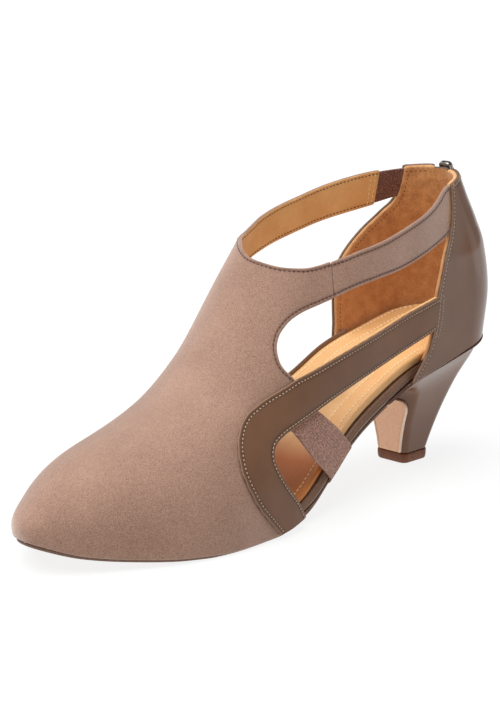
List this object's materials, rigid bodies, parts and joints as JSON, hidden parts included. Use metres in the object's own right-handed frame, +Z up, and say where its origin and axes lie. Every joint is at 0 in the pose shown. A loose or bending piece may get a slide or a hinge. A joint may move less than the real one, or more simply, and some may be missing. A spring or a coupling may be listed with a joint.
{
  "type": "women's shootie",
  "caption": "Heeled cut-out ankle shootie with a suede vamp and ankle strap, a curved leather side band, an arch elastic, a leather counter with a back zip and a slim tapered heel.",
  "frame": {"origin": "middle of the shoe's box, on the floor that it stands on", "axes": "+X towards the toe, +Y towards the outer side of the foot (the wearer's left), +Z up"},
  "size_m": [0.2526, 0.08, 0.1298],
  "materials": {
    "suede": "taupe suede with a short nap",
    "leather": "smooth taupe leather with a soft sheen",
    "elastic": "woven mauve elastic",
    "dark_elastic": "woven dark brown elastic",
    "footbed": "light tan lining leather",
    "breast": "matt pinkish tan",
    "outsole": "matt dark brown",
    "lift": "matt brown",
    "tape": "woven taupe tape",
    "metal": "polished nickel"
  },
  "bodies": {
    "shoe": {"upper": "suede", "side_band": "leather", "counter_cover": "leather", "arch_elastic": "elastic", "strap_elastic": "dark_elastic", "outsole": "outsole", "waist_rim": "leather", "insole": "footbed", "heel": "leather", "heel_breast": "breast", "top_lift": "lift", "zip_tape": "tape", "zip_teeth": "metal", "zip_slider": "metal"},
    "pull_tab": {"zip_pull": "metal"}
  },
  "joints": [
    {"name": "pull_tab_swing", "type": "hinge", "parent": "shoe", "child": "pull_tab", "pos_m": [-0.11401, -0.00096, 0.12691], "axis": [0, 1, 0], "range_deg": [0, 150]}
  ]
}
